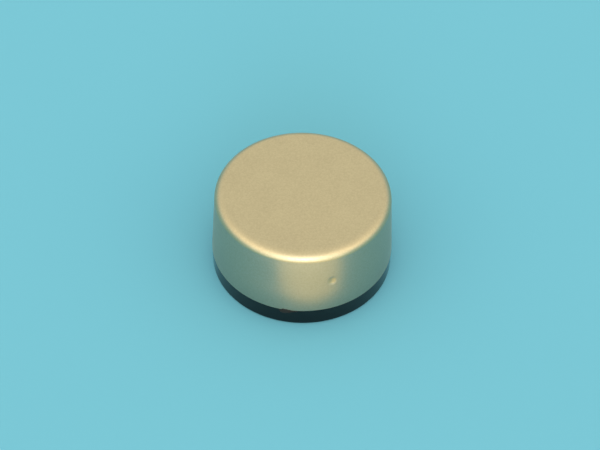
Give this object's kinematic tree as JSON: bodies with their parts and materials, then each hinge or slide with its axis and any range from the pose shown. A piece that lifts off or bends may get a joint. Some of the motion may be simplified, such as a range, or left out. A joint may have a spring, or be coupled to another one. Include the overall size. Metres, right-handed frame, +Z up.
{
  "type": "control knob",
  "caption": "Round push-on control knob: satin aluminium cap with a rounded top edge and an index dimple, over a black flanged insert with a split boss for a splined shaft.",
  "frame": {"origin": "middle of the underside, where the flange's foot stands", "axes": "+Z up along the shaft's axis, towards the flat top; -Y is the front, and the index dimple is a little right of it"},
  "size_m": [0.03, 0.03, 0.0158],
  "materials": {
    "anodised_aluminium": "satin, bead-blasted and anodised champagne gold",
    "black_plastic": "glossy moulded black",
    "spring_steel": "plain rolled strip"
  },
  "bodies": {
    "root": {"cap": "anodised_aluminium", "insert": "black_plastic", "spring_ring": "spring_steel"}
  },
  "joints": []
}
